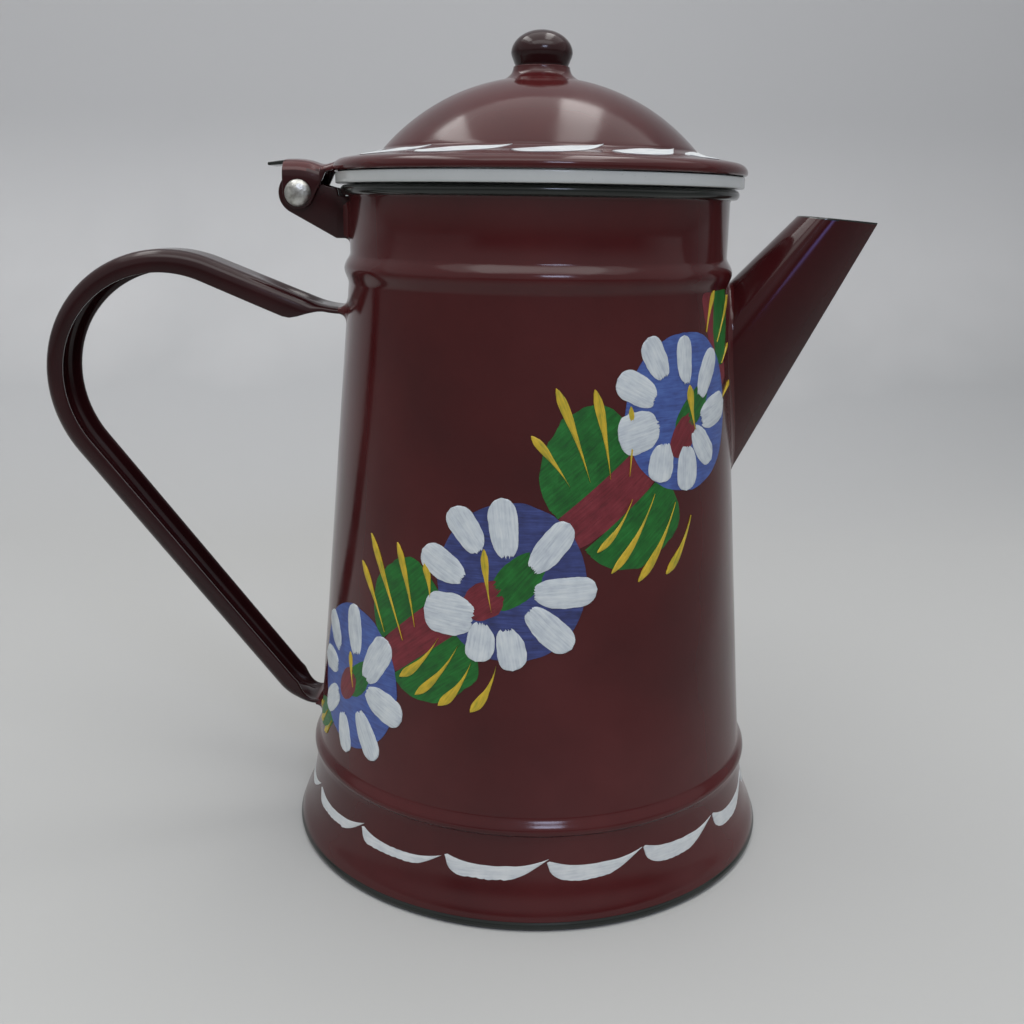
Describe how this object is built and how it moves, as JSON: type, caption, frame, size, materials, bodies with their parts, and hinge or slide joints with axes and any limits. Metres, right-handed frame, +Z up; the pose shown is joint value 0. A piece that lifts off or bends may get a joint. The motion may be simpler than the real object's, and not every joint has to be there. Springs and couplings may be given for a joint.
{
  "type": "enamel coffee pot",
  "caption": "Tall tapered enamel coffee pot with a folded spout, a strap handle and a hinged domed lid with a round knob.",
  "frame": {"origin": "centre of the pot's flat underside, on the pot's axis", "axes": "+Z up along the pot's axis, +X towards the spout, -X towards the handle and the hinge"},
  "size_m": [0.2367, 0.1426, 0.2301],
  "materials": {
    "body_enamel": "glossy maroon enamel on steel sheet, with a black trimmed rim and foot edge",
    "white_enamel": "glossy white enamel on steel sheet",
    "rivet_steel": "bare steel, lightly tarnished"
  },
  "bodies": {
    "pot": {"body_shell": "body_enamel", "foot_skirt": "body_enamel", "bottom_plate": "body_enamel", "spout_shell": "body_enamel", "handle_strap": "body_enamel", "hinge_bracket": "body_enamel", "hinge_rivet": "rivet_steel"},
    "lid": {"lid_shell": "body_enamel", "lid_collar": "white_enamel", "lid_hinge_leaf": "body_enamel", "lid_knob": "body_enamel", "knob_rivet": "rivet_steel"}
  },
  "joints": [
    {"name": "lid_hinge", "type": "hinge", "parent": "pot", "child": "lid", "pos_m": [-0.0662, 0, 0.1865], "axis": [0, -1, 0], "range_deg": [0, 155]}
  ]
}
